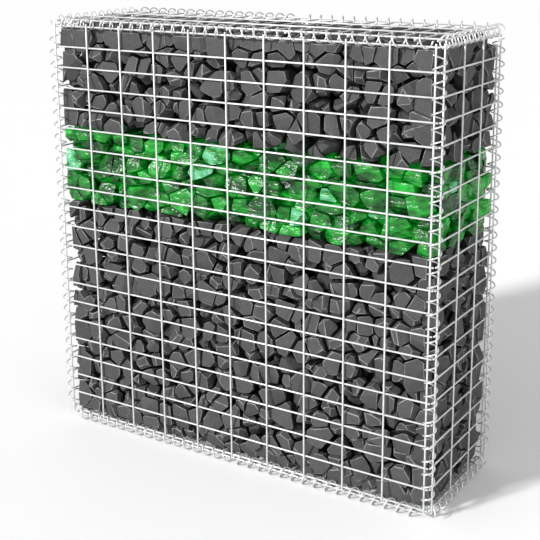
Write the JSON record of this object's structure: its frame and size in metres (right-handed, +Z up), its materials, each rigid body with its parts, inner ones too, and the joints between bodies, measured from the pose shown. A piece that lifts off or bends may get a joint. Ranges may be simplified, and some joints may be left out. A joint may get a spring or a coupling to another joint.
{
  "type": "gabion wall",
  "caption": "Free-standing wall of crushed stone and a band of green glass rock in a welded wire basket laced with wire coils.",
  "frame": {"origin": "middle of the footprint, on the ground, at the underside of the lowest coils", "axes": "+X along the wall, +Y through the wall from front to back, +Z up"},
  "size_m": [1.05, 0.3482, 1.0477],
  "materials": {
    "mesh_wire": "bright galvanised, satin",
    "coil_wire": "bright galvanised, satin",
    "crushed_stone": "rough, freshly broken",
    "glass_rock": "broken, glossy, deep green"
  },
  "bodies": {
    "root": {"front_panel": "mesh_wire", "back_panel": "mesh_wire", "left_panel": "mesh_wire", "right_panel": "mesh_wire", "lid_panel": "mesh_wire", "base_panel": "mesh_wire", "coil_front_right_corner": "coil_wire", "coil_front_left_corner": "coil_wire", "coil_back_right_corner": "coil_wire", "coil_back_left_corner": "coil_wire", "coil_top_front_right": "coil_wire", "coil_top_front_left": "coil_wire", "coil_top_back_right": "coil_wire", "coil_top_back_left": "coil_wire", "coil_base_front_right": "coil_wire", "coil_base_front_left": "coil_wire", "coil_base_back_right": "coil_wire", "coil_base_back_left": "coil_wire", "coil_top_right_end": "coil_wire", "coil_top_left_end": "coil_wire", "coil_base_right_end": "coil_wire", "coil_base_left_end": "coil_wire", "lower_stone_fill": "crushed_stone", "glass_rock_fill": "glass_rock", "upper_stone_fill": "crushed_stone"}
  },
  "joints": []
}
